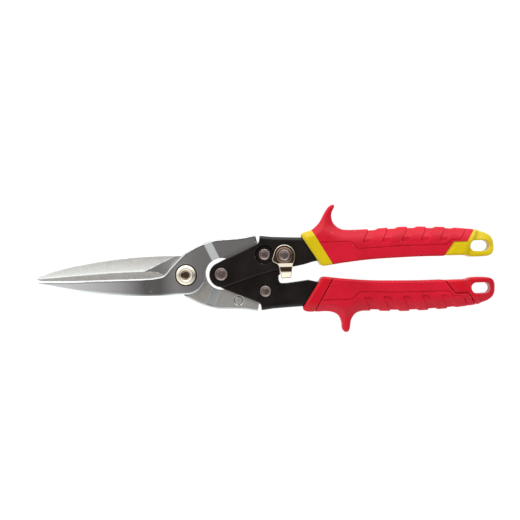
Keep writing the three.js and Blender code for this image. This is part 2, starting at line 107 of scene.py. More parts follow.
def surface(field, low, high, cell):
    """Vertices, quads and normals of the zero level of a field, by dual contouring on a cubic grid."""
    axes = [np.arange(low[k] - 2.5 * cell, high[k] + 3.5 * cell, cell) for k in range(3)]
    values = field(*np.meshgrid(*axes, indexing="ij", sparse=True))
    shape = values.shape
    strides = np.array([shape[1] * shape[2], shape[2], 1])
    cells, places, normals, rings = [], [], [], []
    for along in range(3):
        index, place, normal, outwards = crossings(field, axes, values, along)
        ring = []
        for back_u, back_v in ((1, 1), (0, 1), (0, 0), (1, 0)):
            corner = index.copy()
            corner[:, (along + 1) % 3] -= back_u
            corner[:, (along + 2) % 3] -= back_v
            ring.append(corner @ strides)
        ring = np.stack(ring, axis=1)
        ring[~outwards] = ring[~outwards][:, ::-1]
        rings.append(ring)
        cells.append(ring.T.ravel())
        places.append(np.tile(place, (4, 1)))
        normals.append(np.tile(normal, (4, 1)))
    cells = np.concatenate(cells)
    places = np.concatenate(places)
    normals = np.concatenate(normals)
    used, slot = np.unique(cells, return_inverse=True)
    count = np.bincount(slot)[:, None]
    mean = np.stack([np.bincount(slot, places[:, k]) for k in range(3)], axis=1) / count
    facing = np.stack([np.bincount(slot, normals[:, k]) for k in range(3)], axis=1)
    offset = np.einsum("ij,ij->i", normals, places - mean[slot])
    matrix = np.empty((len(used), 3, 3))
    pull = np.empty((len(used), 3))
    for k in range(3):
        pull[:, k] = np.bincount(slot, normals[:, k] * offset)
        for m in range(3):
            matrix[:, k, m] = np.bincount(slot, normals[:, k] * normals[:, m])
    matrix += 0.1 * count[:, :, None] * np.eye(3)
    corner = np.stack(np.unravel_index(used, shape), axis=1) * cell + [axes[k][0] for k in range(3)]
    vertices = mean + np.linalg.solve(matrix, pull[..., None])[..., 0]
    vertices = np.clip(vertices, corner, corner + cell)
    facing /= np.maximum(np.linalg.norm(facing, axis=1, keepdims=True), 1e-12)
    return vertices, np.searchsorted(used, np.concatenate(rings)), facing


def build(name, node, field, body, material, cell=0.35, marks=None, sharp=30):
    """One piece from a field of (x, y, height above the shear plane), in place of a CAD node."""
    low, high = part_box(node)
    lift = np.array([0, 0, MID])
    margin = 1.2
    low = np.array(low) / MM - lift - margin
    high = np.array(high) / MM - lift + margin
    vertices, quads, normals = surface(field, low, high, cell * GRID)
    mesh = bpy.data.meshes.new(name)
    mesh.from_pydata(((vertices + lift) * MM).tolist(), [], quads.tolist())
    for mark, value in (marks(*vertices.T, normals) if marks else {}).items():
        layer = mesh.attributes.new(mark, "FLOAT", "POINT")
        layer.data.foreach_set("value", np.broadcast_to(value, len(vertices)).astype(np.float32))
    mesh.validate()
    mesh.shade_smooth()
    mesh.set_sharp_from_angle(angle=math.radians(sharp))
    mesh.materials.append(material)
    piece = bpy.data.objects.new(name, mesh)
    bpy.context.scene.collection.objects.link(piece)
    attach(piece, body)
    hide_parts(node)
    return piece


# ---- fields: negative inside, in millimetres ----
def common(*fields):
    """What lies inside all of the fields."""
    return functools.reduce(np.maximum, fields)


def joined(*fields):
    """What lies inside any of the fields."""
    return functools.reduce(np.minimum, fields)


def smooth_step(low, high, value):
    t = np.clip((value - low) / (high - low), 0, 1)
    return t * t * (3 - 2 * t)


def round_max(a, b, radius):
    """Intersection of two fields with the edge between them rounded."""
    inner = np.minimum(np.maximum(a, b) + radius, 0)
    return np.hypot(np.maximum(a + radius, 0), np.maximum(b + radius, 0)) + inner - radius


def distance_to_lines(x, y, points):
    """Distance to an open line through the points."""
    best = np.full(np.broadcast(x, y).shape, 1e9)
    for (ax, ay), (bx, by) in zip(points[:-1], points[1:]):
        dx, dy = bx - ax, by - ay
        t = np.clip(((x - ax) * dx + (y - ay) * dy) / (dx * dx + dy * dy), 0, 1)
        best = np.minimum(best, (x - ax - t * dx) ** 2 + (y - ay - t * dy) ** 2)
    return np.sqrt(best)


def distance_to_outline(x, y, points):
    """Signed distance to a closed outline, negative inside."""
    inside = np.zeros(np.broadcast(x, y).shape, bool)
    for (ax, ay), (bx, by) in zip(points, np.roll(points, -1, axis=0)):
        if ay != by:
            inside ^= ((ay > y) != (by > y)) & (x < (bx - ax) * (y - ay) / (by - ay) + ax)
    distance = distance_to_lines(x, y, np.vstack([points, points[:1]]))
    return np.where(inside, -distance, distance)


def right_of(x, y, a, b):
    """Signed distance to the line from a to b, positive on its right."""
    dx, dy = b[0] - a[0], b[1] - a[1]
    return ((x - a[0]) * dy - (y - a[1]) * dx) / math.hypot(dx, dy)


def from_axis(x, y, at):
    return np.hypot(x - at[0], y - at[1])


def curve(points, steps=5):
    """A smooth curve through the points, as short straight stretches."""
    p = np.array([points[0], *points, points[-1]], float)
    out = []
    for p0, p1, p2, p3 in zip(p[:-3], p[1:-2], p[2:-1], p[3:]):
        for t in np.arange(steps) / steps:
            bend = (p2 - p0) * t + (2 * p0 - 5 * p1 + 4 * p2 - p3) * t**2
            out.append(p1 + 0.5 * (bend + (3 * p1 - p0 - 3 * p2 + p3) * t**3))
    out.append(p[-1])
    return np.array(out)


def arc(middle, radius, start, end, steps=18):
    """Points of an arc, with angles in degrees."""
    a = np.radians(np.linspace(start, end, steps))
    return np.stack([middle[0] + radius * np.cos(a), middle[1] + radius * np.sin(a)], axis=1)


def outline(*stretches):
    """A closed outline from corners and curves, with repeated points left out."""
    points = np.vstack([np.atleast_2d(s) for s in stretches])
    gap = np.linalg.norm(points - np.roll(points, 1, axis=0), axis=1)
    return points[gap > 1e-6]


def rotated(x, y, at, angle):
    """Coordinates as seen after turning the plane back by an angle about a point."""
    c, s = math.cos(angle), math.sin(angle)
    return at[0] + c * (x - at[0]) + s * (y - at[1]), at[1] - s * (x - at[0]) + c * (y - at[1])


def lathe(at, profile):
    """A field turned about a vertical axis from a profile of [radius, height] points."""
    half = np.array(profile, float)
    whole = outline(half, np.stack([-half[::-1, 0], half[::-1, 1]], axis=1))
    return lambda x, y, h: distance_to_outline(from_axis(x, y, at), h, whole)


def hexagon(x, y, at, flats):
    """Signed distance to the sides of a hexagon."""
    sides = [(x - at[0]) * math.cos(a) + (y - at[1]) * math.sin(a) for a in np.radians([0, 60, 120])]
    return common(*(np.abs(s) for s in sides)) - flats / 2


# ---- materials ----
class Finish:
    """A procedural material: helpers add nodes that work in the piece's own coordinates, in metres."""

    def __init__(self, name, **sockets):
        self.material = bpy.data.materials.new(name)
        self.material.use_nodes = True
        self.tree = self.material.node_tree
        self.shader = self.tree.nodes["Principled BSDF"]
        for socket, value in sockets.items():
            self.shader.inputs[socket.replace("_", " ")].default_value = value
        self.place = self.tree.nodes.new("ShaderNodeTexCoord").outputs["Object"]

    def link(self, value, socket):
        if isinstance(value, bpy.types.NodeSocket):
            self.tree.links.new(value, socket)
        else:
            socket.default_value = value

    def noise(self, size, detail=3.0, stretch=(1, 1, 1), rough=0.55, turn=0.0):
        """Noise with grains of a size in millimetres, drawn out along an axis by its stretch."""
        mapping = self.tree.nodes.new("ShaderNodeMapping")
        mapping.inputs["Rotation"].default_value = (0, 0, turn)
        mapping.inputs["Scale"].default_value = [1 / (MM * size * s) for s in stretch]
        self.tree.links.new(self.place, mapping.inputs["Vector"])
        node = self.tree.nodes.new("ShaderNodeTexNoise")
        node.inputs["Scale"].default_value = 1
        node.inputs["Detail"].default_value = detail
        node.inputs["Roughness"].default_value = rough
        self.tree.links.new(mapping.outputs["Vector"], node.inputs["Vector"])
        return node.outputs["Fac"]

    def span(self, value, low, high, to_low=0.0, to_high=1.0):
        """A value's range brought to another range."""
        node = self.tree.nodes.new("ShaderNodeMapRange")
        for socket, number in zip(node.inputs[:5], (value, low, high, to_low, to_high)):
            self.link(number, socket)
        return node.outputs["Result"]

    def math(self, operation, a, b):
        node = self.tree.nodes.new("ShaderNodeMath")
        node.operation = operation
        self.link(a, node.inputs[0])
        self.link(b, node.inputs[1])
        return node.outputs["Value"]

    def mix(self, factor, a, b):
        """A colour between two colours."""
        node = self.tree.nodes.new("ShaderNodeMix")
        node.data_type = "RGBA"
        for socket, value in zip((node.inputs[0], node.inputs[6], node.inputs[7]), (factor, a, b)):
            single = isinstance(value, (bpy.types.NodeSocket, float, int))
            self.link(value if single else (*value, 1), socket)
        return node.outputs[2]

    def mark(self, name):
        """A value that the piece carries at its vertices."""
        node = self.tree.nodes.new("ShaderNodeAttribute")
        node.attribute_name = name
        return node.outputs["Fac"]

    def edges(self, low=0.52, high=0.62):
        """1 on sharp outer edges, where a paler colour paints a highlight; 0 on flat ground."""
        return self.span(self.tree.nodes.new("ShaderNodeNewGeometry").outputs["Pointiness"], low, high)

    def bump(self, height, distance, strength=1.0):
        """Relief of a height field, with a depth in millimetres."""
        node = self.tree.nodes.new("ShaderNodeBump")
        node.inputs["Strength"].default_value = strength
        node.inputs["Distance"].default_value = distance * MM
        self.link(height, node.inputs["Height"])
        self.tree.links.new(node.outputs["Normal"], self.shader.inputs["Normal"])

    def done(self, color, roughness):
        self.link(color, self.shader.inputs["Base Color"])
        self.link(roughness, self.shader.inputs["Roughness"])
        return self.material


def blade_steel():
    """Blasted forging on the outer faces, ground faces on the shear side, polished bevels."""
    f = Finish("blade_steel", Metallic=1.0)
    grain = f.noise(0.6, detail=6, rough=0.65)
    speckle = f.noise(1.1, detail=4)
    patch = f.noise(14, detail=2)
    scratch = f.noise(0.3, detail=4, stretch=(1, 18, 1), turn=0.4)
    # The forging's brightness is a painted tone: reflections and shade painted into its colour along the
    # blade.
    painted_light_tone = f.mark("painted_light_tone")
    ground = f.mark("ground")
    blasted = f.span(f.math("ADD", grain, f.math("MULTIPLY", speckle, 0.5)), 0.5, 1.0)
    low = f.mix(painted_light_tone, (0.09, 0.087, 0.087), (0.88, 0.94, 0.97))
    high = f.mix(painted_light_tone, (0.16, 0.154, 0.154), (0.95, 0.99, 1.0))
    forged = f.mix(blasted, low, high)
    lines = f.math("ADD", f.math("MULTIPLY", scratch, 0.6), f.math("MULTIPLY", speckle, 0.5))
    satin = f.mix(f.span(lines, 0.4, 0.72), (0.73, 0.775, 0.755), (0.87, 0.92, 0.89))
    color = f.mix(ground, forged, satin)
    color = f.mix(f.mark("bevel"), color, (0.46, 0.47, 0.47))
    roughness = f.span(ground, 0, 1, 0.42, f.span(speckle, 0.3, 0.7, 0.34, 0.42))
    roughness = f.span(f.mark("bevel"), 0, 1, roughness, 0.26)
    skin = f.math("ADD", grain, f.math("MULTIPLY", patch, 0.3))
    f.bump(f.span(ground, 0, 1, skin, f.span(scratch, 0, 1, 0.4, 0.56)), 0.06)
    return f.done(color, roughness)


def nickel():
    f = Finish("nickel_plate", Metallic=1.0)
    haze = f.noise(1.6, detail=4)
    fine = f.noise(0.25, detail=3)
    color = f.mix(f.span(haze, 0.3, 0.7), (0.84, 0.76, 0.60), (0.92, 0.86, 0.72))
    # Pale colour on sharp edges: a painted highlight.
    color = f.mix(f.edges(), color, (0.95, 0.92, 0.86))
    f.bump(fine, 0.006)
    return f.done(color, f.span(haze, 0.3, 0.7, 0.06, 0.11))


def rivet_steel():
    f = Finish("rivet_steel", Metallic=1.0)
    fine = f.noise(0.35, detail=5)
    tint = f.noise(2.4, detail=2)
    color = f.mix(f.span(tint, 0.35, 0.65), (0.22, 0.175, 0.165), (0.32, 0.265, 0.25))
    # Pale colour on sharp edges: a painted highlight.
    color = f.mix(f.edges(), color, (0.66, 0.6, 0.55))
    f.bump(fine, 0.03)
    return f.done(color, f.span(fine, 0.3, 0.7, 0.28, 0.4))


def black_coat():
    f = Finish("black_coat", Metallic=0.0, Specular_IOR_Level=0.36)
    fine = f.noise(0.3, detail=5)
    smear = f.noise(12, detail=3)
    color = f.mix(f.span(smear, 0.3, 0.7), (0.0035, 0.0022, 0.0018), (0.006, 0.0046, 0.004))
    # Grey colour on sharp edges of the coat: a painted highlight.
    color = f.mix(f.math("MULTIPLY", f.edges(0.52, 0.62), 0.8), color, (0.14, 0.138, 0.142))
    f.bump(fine, 0.02)
    return f.done(color, f.span(smear, 0.3, 0.7, 0.3, 0.4))


def spring_steel():
    f = Finish("spring_steel", Metallic=1.0)
    drawn = f.noise(0.2, detail=3, stretch=(6, 6, 1))
    color = f.mix(f.span(drawn, 0.3, 0.7), (0.2, 0.19, 0.18), (0.34, 0.33, 0.31))
    f.bump(drawn, 0.01)
    return f.done(color, f.span(drawn, 0.3, 0.7, 0.28, 0.42))


def moulded(name, deep, pale, roughness, grain, depth, highlight_color, highlight_share, **sockets):
    """A moulded surface: slight clouds in its colour, pale edges that are a painted highlight, and a fine
    spark-eroded grain.
    """
    f = Finish(name, **sockets)
    clouds = f.noise(22, detail=3)
    fine = f.noise(grain, detail=4, rough=0.65)
    color = f.mix(f.span(f.math("ADD", f.math("MULTIPLY", fine, 0.7), clouds), 0.6, 1.1), deep, pale)
    # Sharp edges turn towards the highlight colour: a painted highlight.
    color = f.mix(f.math("MULTIPLY", f.edges(0.53, 0.64), highlight_share), color, highlight_color)
    f.bump(fine, depth)
    return f.done(color, f.span(fine, 0.3, 0.7, roughness - 0.05, roughness + 0.08))


BLADE_STEEL = blade_steel()
NICKEL = nickel()
RIVET_STEEL = rivet_steel()
BLACK_COAT = black_coat()
SPRING_STEEL = spring_steel()
# After its grain depth, each moulded finish gives the colour and share of its painted edge highlight.
RED_RUBBER = moulded("red_rubber", (0.55, 0.003, 0.018), (0.71, 0.007, 0.031), 0.42, 0.5, 0.1,
                     (0.92, 0.11, 0.12), 0.6, Specular_IOR_Level=0.24)
RED_PLASTIC = moulded("red_plastic", (0.55, 0.003, 0.014), (0.68, 0.006, 0.023), 0.34, 0.35, 0.012,
                      (0.9, 0.06, 0.07), 0.25, Specular_IOR_Level=0.24)
YELLOW_PLASTIC = moulded("yellow_plastic", (0.64, 0.48, 0.001), (0.72, 0.55, 0.002), 0.34, 0.35, 0.01,
                         (0.84, 0.7, 0.06), 0.25, Specular_IOR_Level=0.3)


# ---- blades ----
LEAN = math.radians(0.45)  # both blade outlines are turned by this about the bolt
BLADE_INNER = 0.1  # from the shear plane to the sliding face
BLADE_OUTER = level("front_blade", 1) - MID
THINNING = 0.0259  # thickness that the jaw loses with each millimetre towards the tip
JAW_DROP = 0.55  # from the boss down to the jaw
TANG_HALF = 3.0
JOGGLE = math.radians(25)  # direction across the step from the pivot zone to the tang
JOGGLE_START = 20.6
JOGGLE_END = 26.2
TIP_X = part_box("front_blade")[0].x / MM
BOLT_HOLE = 4.5
COUNTERBORE = 7.9
COUNTERBORE_FLOOR = 4.1
BOSS = 13.5
BEVEL = 0.9  # width of the bevel of a cutting edge, and its slope
BEVEL_SLOPE = 0.75
HOLLOW_SLOPE = 0.2
HOLLOW_CURVE = 0.006
HOLLOW_LIP = 0.07  # depth and width of the steep start of the hollow, at its ridge
HOLLOW_LIP_WIDTH = 0.45
BARE_DEPTH = 0.35
BARE_STOP = 12.9  # the bare patch ends at this distance from the bolt
NOSE_CLEARANCE = 11.1
TANG_END = 8.3
UPPER_TANG_HOLE = 2.9
LOWER_TANG_HOLE = 3.1
POCKMARK = (-24.8, -10.4)
STAMP = (36.2, -18.5)
STAMP_RADIUS = 2.9
STAMP_DEPTH = 0.3
JAW_SPINE = curve([
    (-100, -3.3), (-90, -6.25), (-75, -9.2), (-55, -11.8), (-35, -13.3), (-18, -13.7), (-6, -13.5),
])
TANG_BACK = [
    (49.1, 26.1), (48.2, 26.5), (42, 25.4), (35, 24.7), (25, 24.3), (20, 23.8), (10, 20.8), (0, 15.7),
]
FRONT_EDGE = [(-5, 11.2), (-11, 5.0), (-14, 1.6), (-17, -0.3), (-24, -1.4), (-31, -1.6)]
REAR_EDGE = [(-5, 11.7), (-11, 6.2), (-16, 3.9), (-24, 3.45), (-30, 3.4)]


class Blade:
    """One blade, drawn as the front one; side is -1 for the rear one, which is turned over."""

    # Brightness painted into the forging along the blade, standing for its reflections and shade: bright at
    # the tip, dull by the pivot and the tang.
    PAINTED_LIGHT_TONE = [
        (-100, 1.1), (-84, 1.02), (-58, 0.72), (-46, 0.52), (-29, 0.06), (-18, 0.06), (-7, 0.34), (8, 0.22),
        (20, 0.2), (50, 0.2),
    ]

    def __init__(self, jaw_edge, tip_edge, side, tang_at, tang_hole):
        self.side = side
        self.tang_at = tang_at
        self.tang_hole = tang_hole
        tip = (TIP_X, -0.6)
        self.tang_line = curve(TANG_BACK, steps=8)
        self.sharp_line = np.vstack([self.tang_line, curve(jaw_edge, steps=8), tip_edge, [tip]])
        self.plan = outline(
            tip, (TIP_X + 1.2, -2), JAW_SPINE, arc(MAIN, BOSS, -90, -4),
            arc(NOSE, NOSE_CLEARANCE, 180, 80, steps=24), arc(UPPER_TANG, TANG_END, -100, 100),
            [(50.6, 21.4), (49.8, 22.4), (49.5, 24.8)], self.sharp_line,
        )
        shift = jaw_edge[-1][1] - REAR_EDGE[-1][1]
        crest = [(a, b + shift) for a, b in ((-90, -1.2), (-60, -2.8), (-40, -3.3), (-29, -3.45))]
        self.ridge = curve([(-103, -0.6 + 0.2 * shift), *crest], steps=6)
        self.run_out = [(-29, -3.45 + shift), (-9, -12.6)]  # where the hollow grinding stops
        stop = [(-29, -3.45), (-25, -3.2), (-20, -2.4), (-17, -1.1), (-15.5, -0.4), (-12, 3.5)]
        self.band_end = np.array(stop) + [0, shift]

    def own(self, x, y, h):
        u, v = rotated(x, y, MAIN, LEAN)
        return u, v * self.side, h * self.side

    def outer_face(self, x, along, h):
        drop = JAW_DROP * smooth_step(8, 34, -x) + THINNING * np.maximum(-20 - x, 0)
        rise = BLADE_OUTER - TANG_HALF
        run = JOGGLE_END - JOGGLE_START
        ramp = ((along - JOGGLE_START) * rise + (h - BLADE_OUTER) * run) / math.hypot(rise, run)
        return np.maximum(h - BLADE_OUTER + drop, np.minimum(ramp, h - TANG_HALF))

    def inner_face(self, along, h):
        rise = BLADE_INNER + TANG_HALF
        run = JOGGLE_END - JOGGLE_START
        ramp = -((along - JOGGLE_START) * rise + (h - BLADE_INNER) * run) / math.hypot(rise, run)
        return np.minimum(BLADE_INNER - h, np.maximum(ramp, -TANG_HALF - h))

    def past_run_out(self, x, y):
        """Distance beyond the end of the hollow grinding, towards the pivot."""
        return -right_of(x, y, *self.run_out)

    def bare(self, x, y):
        """Negative on the patch of forging skin between the grinding and the pivot."""
        above_band = y - np.interp(x, *self.band_end.T)
        return common(-self.past_run_out(x, y), above_band, BARE_STOP - from_axis(x, y, MAIN), x + 5)

    def ground_away(self, x, y, h):
        """The hollow behind the flat band of the sliding face, and the step down to the bare patch."""
        beyond = np.interp(x, *self.ridge.T) - y
        behind = np.maximum(beyond, 0)
        lip = HOLLOW_LIP * (1 - np.exp(-behind / HOLLOW_LIP_WIDTH))
        hollow = HOLLOW_SLOPE * beyond - HOLLOW_CURVE * behind**2 + lip
        run_out_wall = 0.93 * (self.past_run_out(x, y) + 0.4 * (h - BLADE_INNER))
        relief = np.maximum(h - BLADE_INNER - hollow, run_out_wall)
        return np.minimum(relief, np.maximum(h - BLADE_INNER - BARE_DEPTH, self.bare(x, y)))

    def bevel_width(self, x):
        return BEVEL + 0.3 * smooth_step(60, 98, -x)

    def stamp(self, x, y):
        """Depth of the plain round mark on the tang of the rear blade."""
        ring = np.abs(from_axis(x, y, STAMP) - STAMP_RADIUS)
        return STAMP_DEPTH * (1 - smooth_step(0.25, 0.7, ring)) * (self.side < 0)

    def __call__(self, x, y, h):
        hole = np.minimum(from_axis(x, y, MAIN) - BOLT_HOLE, from_axis(x, y, self.tang_at) - self.tang_hole)
        u, v, w = self.own(x, y, h)
        edge = distance_to_outline(u, v, self.plan)
        sharp = distance_to_lines(u, v, self.sharp_line)
        along = u * math.cos(JOGGLE) + v * math.sin(JOGGLE)
        outer = self.outer_face(u, along, w)
        inner = self.inner_face(along, w)
        softness = 0.15 + 1.5 * smooth_step(1.5, 4, sharp) * smooth_step(12.5, 15, from_axis(x, y, NOSE))
        steepness = math.hypot(BEVEL_SLOPE, 1)
        outer_bevel = (BEVEL_SLOPE * (self.bevel_width(u) - sharp) + outer) / steepness
        back = distance_to_lines(u, v, self.tang_line)
        inner_bevel = (BEVEL_SLOPE * (BEVEL - back) + inner) / steepness
        body = common(
            round_max(edge, outer, softness), outer_bevel, inner + self.stamp(x, y), inner_bevel,
            -self.ground_away(u, v, w), -hole,
        )
        if self.side < 0:
            return body
        pockmark = np.hypot(from_axis(x, y, POCKMARK), h - BLADE_OUTER) - 1.0
        counterbore = np.maximum(from_axis(x, y, MAIN) - COUNTERBORE, COUNTERBORE_FLOOR - h)
        return common(body, -counterbore, -pockmark)

    def marks(self, x, y, h, normals):
        """How far the surface is ground or a polished bevel, and the brightness painted into its forging for
        reflections and shade.
        """
        u, v, w = self.own(x, y, h)
        up = normals[:, 2] * self.side
        along = u * math.cos(JOGGLE) + v * math.sin(JOGGLE)
        ramp = smooth_step(-0.2, 0.2, along - JOGGLE_START) * smooth_step(-0.2, 0.2, JOGGLE_END - along)
        inner = smooth_step(0.5, 0.8, -up) * smooth_step(-0.3, 0.3, self.bare(u, v))
        inner = inner * (1 - ramp) * (1 - 0.3 * smooth_step(-5, 10, u)) * (1 - 3.2 * self.stamp(x, y))
        sharp = distance_to_lines(u, v, self.sharp_line)
        width = np.where(up > 0, self.bevel_width(u), 0.8)
        bevel = (1 - smooth_step(width - 0.15, width + 0.25, sharp)) * np.where(u < -12, up > -0.3, 1.0)
        painted_light_tone = np.interp(u, *np.array(self.PAINTED_LIGHT_TONE).T)
        painted_light_tone = painted_light_tone - 0.5 * painted_light_tone * np.exp(-((sharp - width - 0.5) / 0.4) ** 2)  # a painted shade line by the bevel
        painted_light_tone = painted_light_tone + 0.2 * (self.bare(u, v) < 0) * (up < 0)
        boss_highlight = (up > 0) * (1 - smooth_step(0.72, 0.96, up)) * smooth_step(-20, -4, u)  # painted highlight round the boss, on faces that tilt
        painted_light_tone = painted_light_tone + 0.5 * boss_highlight
        return {
            "ground": common(inner, 0.62 * ramp * (up > 0), 0.6 * (np.abs(up) < 0.3)),
            "bevel": bevel,
            "painted_light_tone": painted_light_tone,
        }


def build_blades():
    front = Blade(FRONT_EDGE, [(-80, -1.5)], 1, UPPER_TANG, UPPER_TANG_HOLE)
    build("front_blade_forging", "front_blade", front, "lower_jaw", BLADE_STEEL,
          cell=0.32, marks=front.marks)
    rear = Blade(REAR_EDGE, [(-90, 3.2), (-100, 1.6)], -1, LOWER_TANG, LOWER_TANG_HOLE)
    build("rear_blade_forging", "rear_blade", rear, "upper_jaw", BLADE_STEEL,
          cell=0.32, marks=rear.marks)


# ---- main pivot ----
SOCKET_FLATS = 5
SOCKET_DEPTH = 3.6
NUT_FLATS = 14


def build_main_pivot():
    top = level("pivot_bolt", 1) - MID
    seat = top - 2.5
    foot = level("pivot_bolt", 0) - MID
    head = lathe(MAIN, [
        (0, foot), (3.6, foot), (4.2, foot + 0.6), (4.2, seat), (6.5, seat), (6.95, seat + 0.4),
        (6.95, seat + 0.9), (6.7, seat + 1.45), (6.2, top - 0.62), (5.6, top - 0.28), (5.0, top - 0.08),
        (4.6, top), (4.4, top - 0.08), (3.6, top - 0.43), (2.4, top - 0.6), (0, top - 0.6),
    ])

    def bolt(x, y, h):
        socket = np.maximum(hexagon(x, y, MAIN, SOCKET_FLATS), top - SOCKET_DEPTH - h)
        return np.maximum(head(x, y, h), -socket)

    build("pivot_bolt_head", "pivot_bolt", bolt, "lower_jaw", NICKEL, cell=0.16, sharp=45)
    for name, node, slot, material in (
        # The head washer is black, so the gap round the bolt head also holds painted shade.
        ("pivot_head_shade_ring", "pivot_head_washer", "black_coat", BLACK_COAT),
        ("pivot_nut_ring", "pivot_nut_washer", "nickel", NICKEL),
    ):
        build(name, node, washer(node, MAIN, BOLT_HOLE), "lower_jaw", material, cell=0.2)
    nut_top = level("pivot_nut", 1) - MID
    middle = (nut_top - MID) / 2
    half = (nut_top + MID) / 2

    def nut(x, y, h):
        radius = from_axis(x, y, MAIN)
        body = np.maximum(hexagon(x, y, MAIN, NUT_FLATS), np.abs(h - middle) - half)
        chamfer = (radius - 7.6) * 0.5 + (np.abs(h - middle) - half) * 0.866
        countersink = (5.2 - radius) * 0.7 - (h + MID) * 0.7
        return common(body, chamfer, 4.3 - radius, countersink)

    build("pivot_lock_nut", "pivot_nut", nut, "lower_jaw", NICKEL, cell=0.2)


def washer(node, at, bore):
    """A flat ring of the size of its CAD node, with its edges broken."""
    low, high = (level(node, end) - MID for end in (0, 1))
    outer = (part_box(node)[1].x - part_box(node)[0].x) / (2 * MM)

    def field(x, y, h):
        radius = from_axis(x, y, at)
        side = np.maximum(radius - outer, bore - radius)
        return round_max(side, np.abs(h - (low + high) / 2) - (high - low) / 2, 0.2)

    return field


# ---- handle frames ----
SHEET = 1.8
UPPER_OUTER = 7.2  # from the shear plane to the outer face of each wall
LOWER_OUTER = 5.1
BEND = 2.4  # outer radius of the folds
NECKING = 0.7  # the walls draw in by this behind the latch
DIMPLE = 6.8  # pressed round the upper tang rivet
DIMPLE_RAMP = 1.1
DIMPLE_DEPTH = 2.1
RIVET_HOLE = 2.9
WEB_START = 52.2
TAIL_END, TAIL_LOW, TAIL_HIGH = 178, 13.3, 23.0
WALL_BACK = [(51.8, 26.1), (60, 25.1), (70, 24.6), (82, 24.1), (96, TAIL_HIGH), (TAIL_END, TAIL_HIGH)]
LOWER_CLOSE = sum(math.atan2(p.y - NOSE.y, p.x - NOSE.x) for p in (UPPER_TANG, LOWER_TANG))

UPPER_WALL = outline(
    arc((25, -0.4), 8.8, 250, 110), (27, 10.3), (35, 13.6), (50.4, 20.7), (51.2, 22), WALL_BACK,
    [(TAIL_END, TAIL_LOW), (98, TAIL_LOW), (91.5, 7.6)],
    curve([(88, 7), (80, 4.9), (65, 2.4), (52, -0.6), (40, -4.4), (25, -9.2)]),
)
LOWER_WALL = outline(
    arc((25, 0), 8.4, 250, 115), (25, 10), (36, 14.7), (50.2, 20.6), (51.4, 22.4), WALL_BACK,
    [(TAIL_END, TAIL_LOW), (98, TAIL_LOW), (91.5, 7.5)], curve([(85, 5.9), (78, 6.8), (70, 7.6), (66, 7.6)]),
    curve([(65.2, 7.1), (64.5, 5.6), (64.3, 3.6), (64.5, 2.2), (65.6, 1.2)]), [(65, -3.6), (50, -3.2)],
    curve([(42, -4.6), (30, -7.4), (23, -8.1)]),
)


def channel(wall, outer, dimple_at=None):
    """A channel folded from sheet: two walls, and a web along the back behind the tang."""

    def field(x, y, h):
        inset = NECKING * smooth_step(80, 96, x)
        if dimple_at is not None:
            inset = inset + DIMPLE_DEPTH * np.clip((DIMPLE - from_axis(x, y, dimple_at)) / DIMPLE_RAMP, 0, 1)
        edge = distance_to_outline(x, y, wall)
        back = y - np.interp(x, *np.array([(51.4, 60), *WALL_BACK]).T)
        face = np.abs(h) - outer + inset
        bent = round_max(back, face, BEND)
        inside_back = np.where(x > WEB_START, back + SHEET, -9)
        cavity = round_max(inside_back, face + SHEET, 0.6)
        holes = np.minimum(from_axis(x, y, NOSE), from_axis(x, y, UPPER_TANG)) - RIVET_HOLE
        return common(round_max(edge, face, 0.55), bent, -cavity, -holes)

    return field


def lower_side(field):
    """A field drawn as on the upper handle, mirrored and turned into the place of the lower one."""

    def placed(x, y, h):
        u, v = rotated(x, y, NOSE, LOWER_CLOSE)
        return field(u, -v, h)

    return placed


def build_frames():
    upper = channel(UPPER_WALL, UPPER_OUTER, UPPER_TANG)

    def with_latch_hole(x, y, h):
        hole = np.maximum(from_axis(x, y, LATCH_PIVOT) - RIVET_HOLE, -h)
        return np.maximum(upper(x, y, h), -hole)

    build("upper_channel", "upper_handle_frame", with_latch_hole, "upper_handle", BLACK_COAT,
          cell=0.38)
    lower = lower_side(channel(LOWER_WALL, LOWER_OUTER))
    build("lower_channel", "lower_handle_frame", lower, "lower_handle", BLACK_COAT, cell=0.38)


# ---- rivets, spacer and return spring ----
SHANK = 2.6


def rivet(node, at, head):
    """A rivet with a low head on both sides, dished on its face."""
    top = level(node, 1) - MID
    seat = top - 1.5
    upper = [
        (SHANK, 0), (SHANK, seat), (head - 0.1, seat), (head, seat + 0.15), (head, top - 0.65),
        (head - 0.2, top - 0.2), (head - 0.5, top), (head - 0.75, top - 0.03), (head - 1.1, top - 0.3),
        (head - 1.5, top - 0.34), (head - 1.9, top - 0.2), (0, top - 0.14),
    ]
    lower = [(r, -z) for r, z in upper[::-1]]
    return lathe(at, lower + upper[1:])


def build_pivots():
    for name, node, at, head, body in (
        ("nose_rivet_headed", "nose_rivet", NOSE, 4.5, "upper_handle"),
        ("upper_tang_rivet_headed", "upper_tang_rivet", UPPER_TANG, 4.0, "upper_handle"),
        ("lower_tang_rivet_headed", "lower_tang_rivet", LOWER_TANG, 4.0, "lower_handle"),
    ):
        build(name, node, rivet(node, at, head), body, RIVET_STEEL, cell=0.16)
    spacer = washer("nose_spacer", NOSE, RIVET_HOLE)
    build("nose_spacer_sleeve", "nose_spacer", spacer, "upper_handle", SPRING_STEEL,
          cell=0.2)


WIRE = 0.65
COIL = 5.0
COIL_TURNS = 2.5
COIL_RISE = 1.5 * COIL_TURNS
SPRING_REACH = 46.0


def spring_line():
    """The wire's middle line: a leg, the coil about the spacer, and the other leg."""
    leg = SPRING_REACH - NOSE.x
    line = [(NOSE.x + s, COIL, -COIL_RISE / 2) for s in np.linspace(leg, 0.6, 24)]
    for turn in np.linspace(0, 1, 150):
        a = math.pi / 2 + turn * COIL_TURNS * 2 * math.pi
        line.append((NOSE.x + COIL * math.cos(a), COIL * math.sin(a), COIL_RISE * (turn - 0.5)))
    line += [(NOSE.x + s, -COIL, COIL_RISE / 2) for s in np.linspace(0.6, leg, 24)]
    return np.array(line)


